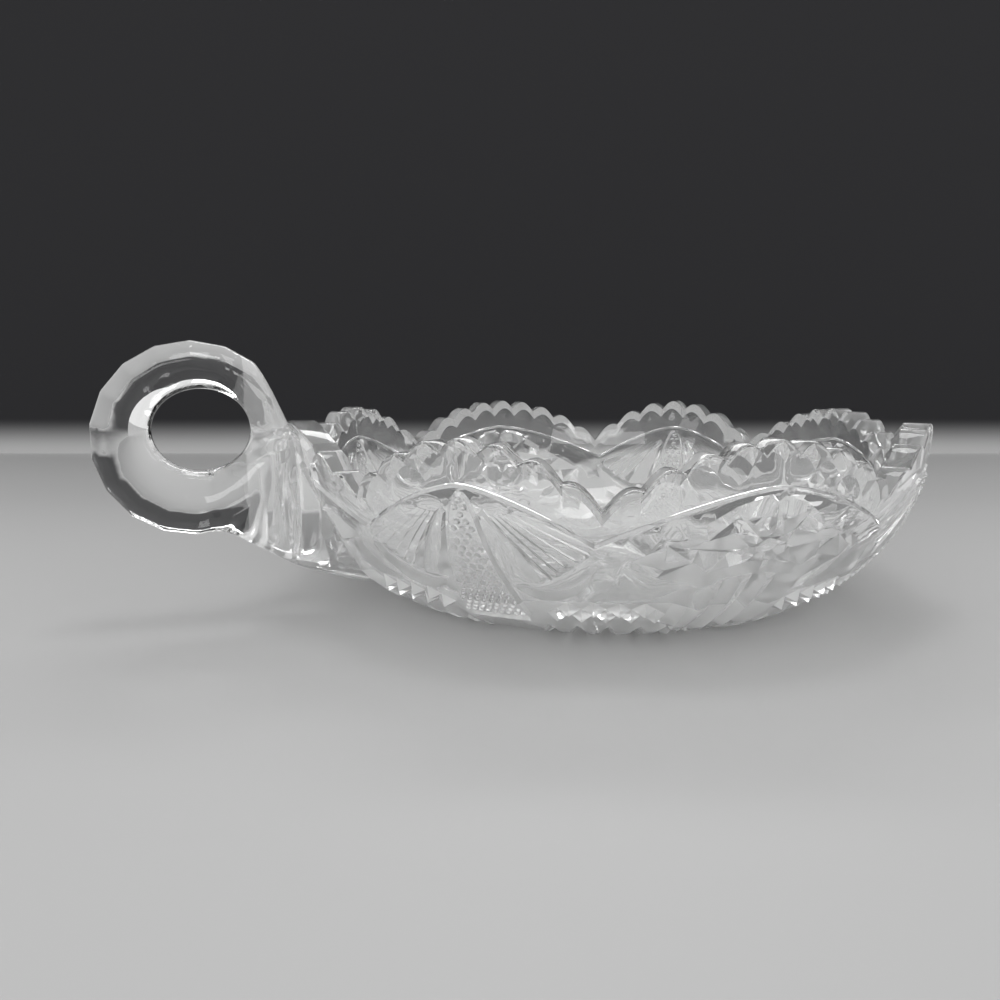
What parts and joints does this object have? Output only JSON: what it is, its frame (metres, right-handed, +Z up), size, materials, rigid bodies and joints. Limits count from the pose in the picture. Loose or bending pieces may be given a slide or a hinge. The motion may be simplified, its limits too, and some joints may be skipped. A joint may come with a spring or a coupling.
{
  "type": "nappy dish",
  "caption": "Shallow round pressed-glass nappy with a scalloped, toothed rim, fan and star panels and a finger-ring handle; holds sweets, relish or olives.",
  "frame": {"origin": "middle of the foot, on the table", "axes": "+Z up, -X towards the finger ring"},
  "size_m": [0.187, 0.1476, 0.0584],
  "materials": {
    "clear_glass": "clear pressed soda-lime glass, fire polished, faint grey-green tint in thick parts"
  },
  "bodies": {
    "root": {"scalloped_rim": "clear_glass", "bowl_wall": "clear_glass", "base_disc": "clear_glass", "fan_panel_front_right": "clear_glass", "fan_panel_back_right": "clear_glass", "fan_panel_back_left": "clear_glass", "fan_panel_front_left": "clear_glass", "star_panel_right": "clear_glass", "star_panel_back": "clear_glass", "star_panel_front": "clear_glass", "star_panel_handle_front": "clear_glass", "star_panel_handle_back": "clear_glass", "bead_wedge_front_right": "clear_glass", "bead_wedge_back_right": "clear_glass", "bead_wedge_back_left": "clear_glass", "bead_wedge_front_left": "clear_glass", "handle_root": "clear_glass", "finger_ring": "clear_glass"}
  },
  "joints": []
}
